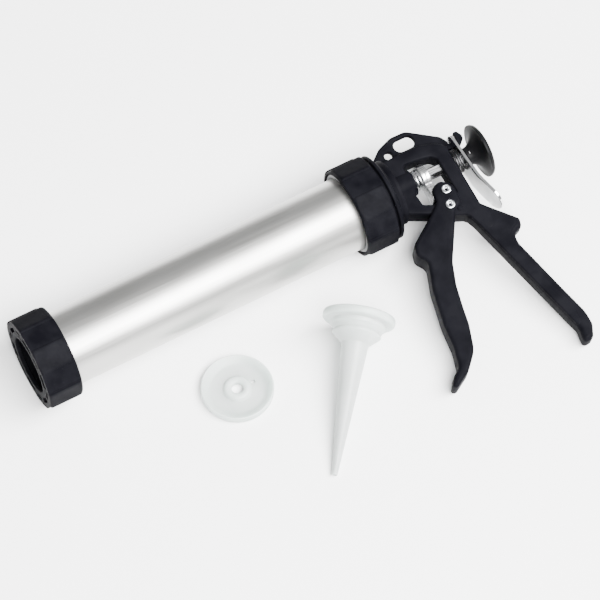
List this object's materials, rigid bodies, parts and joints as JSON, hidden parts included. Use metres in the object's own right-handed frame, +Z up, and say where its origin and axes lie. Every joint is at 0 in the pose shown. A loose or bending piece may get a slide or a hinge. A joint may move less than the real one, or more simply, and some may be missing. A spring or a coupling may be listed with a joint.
{
  "type": "caulking gun",
  "caption": "Hand caulking gun for sausages and cartridges: round barrel with screw caps, skeleton frame, hinged trigger, catch plate and push rod, with its nozzle and a spare piston disc.",
  "frame": {"origin": "on the floor, under the middle of the bounding box of the gun, nozzle and spare disc", "axes": "+X along the barrel from the front cap to the pull knob, +Y away from the handle, +Z up off the floor that the gun lies on"},
  "size_m": [0.3635, 0.1978, 0.067],
  "materials": {
    "anodised_tube": "satin anodised",
    "black_plastic": "satin moulded",
    "black_cast": "satin powder coat on cast aluminium",
    "zinc_steel": "bright zinc plate",
    "plain_steel": "bright drawn",
    "chromed_steel": "bright",
    "gloss_black": "gloss",
    "seal_rubber": "matt",
    "milky_plastic": "translucent, moulded"
  },
  "bodies": {
    "gun": {"frame_casting": "black_cast", "barrel_tube": "anodised_tube", "front_collar": "anodised_tube", "barrel_snap_ring": "zinc_steel", "pivot_rivet": "zinc_steel", "return_spring": "zinc_steel", "release_spring": "zinc_steel"},
    "front_seal_ring": {"front_seal": "seal_rubber"},
    "front_screw_cap": {"front_cap": "black_plastic"},
    "nut_washer": {"slip_washer": "zinc_steel"},
    "rear_nut": {"rear_ring_nut": "black_plastic"},
    "trigger_lever": {"trigger": "black_cast", "drive_rivet": "zinc_steel"},
    "roller": {"drive_roller": "plain_steel"},
    "drive_plates": {"drive_plate_front": "plain_steel", "drive_plate_rear": "plain_steel"},
    "catch": {"release_plate": "chromed_steel"},
    "rod": {"push_rod": "plain_steel", "knob": "gloss_black", "knob_pin": "plain_steel", "piston_cup": "milky_plastic", "piston_disc": "plain_steel", "piston_nut": "plain_steel"},
    "loose_nozzle": {"nozzle": "milky_plastic"},
    "loose_disc": {"spare_disc": "milky_plastic"}
  },
  "joints": [
    {"name": "trigger_pull", "type": "hinge", "parent": "gun", "child": "trigger_lever", "pos_m": [0.13475, 0.03389, 0.02868], "axis": [0, -0.1606, 0.987], "range_deg": [0, 28], "stiffness_Nm_per_rad": 0.5, "springref_deg": -6.88},
    {"name": "roller_spin", "type": "hinge", "parent": "trigger_lever", "child": "roller", "pos_m": [0.13775, 0.04504, 0.0305], "axis": [0, -0.1606, 0.987], "continuous": true},
    {"name": "drive_slide", "type": "slide", "parent": "gun", "child": "drive_plates", "axis": [-1, 0, 0], "range_m": [0, 0.0058], "deforming": ["return_spring"]},
    {"name": "catch_press", "type": "hinge", "parent": "gun", "child": "catch", "pos_m": [0.16115, 0.07781, 0.03583], "axis": [0, 0.1606, -0.987], "range_deg": [0, 3.5], "stiffness_Nm_per_rad": 0.5, "springref_deg": -3.44, "deforming": ["release_spring"]},
    {"name": "rod_slide", "type": "slide", "parent": "gun", "child": "rod", "axis": [1, 0, 0], "range_m": [0, 0.212]},
    {"name": "front_cap_slide", "type": "slide", "parent": "gun", "child": "front_seal_ring", "axis": [-1, 0, 0], "range_m": [0, 0.03]},
    {"name": "front_cap_turn", "type": "hinge", "parent": "front_seal_ring", "child": "front_screw_cap", "pos_m": [-0.16775, 0.0635, 0.0335], "axis": [-1, 0, 0], "range_deg": [0, 2160]},
    {"name": "rear_nut_slide", "type": "slide", "parent": "gun", "child": "nut_washer", "axis": [-1, 0, 0], "range_m": [0, 0.02]},
    {"name": "rear_nut_turn", "type": "hinge", "parent": "nut_washer", "child": "rear_nut", "pos_m": [0.08225, 0.0635, 0.0335], "axis": [-1, 0, 0], "range_deg": [0, 1440]},
    {"name": "nozzle_lift", "type": "slide", "parent": "gun", "child": "loose_nozzle", "axis": [0, 0, 1], "range_m": [0, 0.1]},
    {"name": "disc_lift", "type": "slide", "parent": "gun", "child": "loose_disc", "axis": [0, 0, 1], "range_m": [0, 0.1]}
  ],
  "couplings": [
    {"joint": "drive_slide", "follows": "trigger_pull", "m_per_rad": 0.011574},
    {"joint": "front_cap_slide", "follows": "front_cap_turn", "m_per_rad": 0.00079577},
    {"joint": "rear_nut_slide", "follows": "rear_nut_turn", "m_per_rad": 0.00079577}
  ]
}
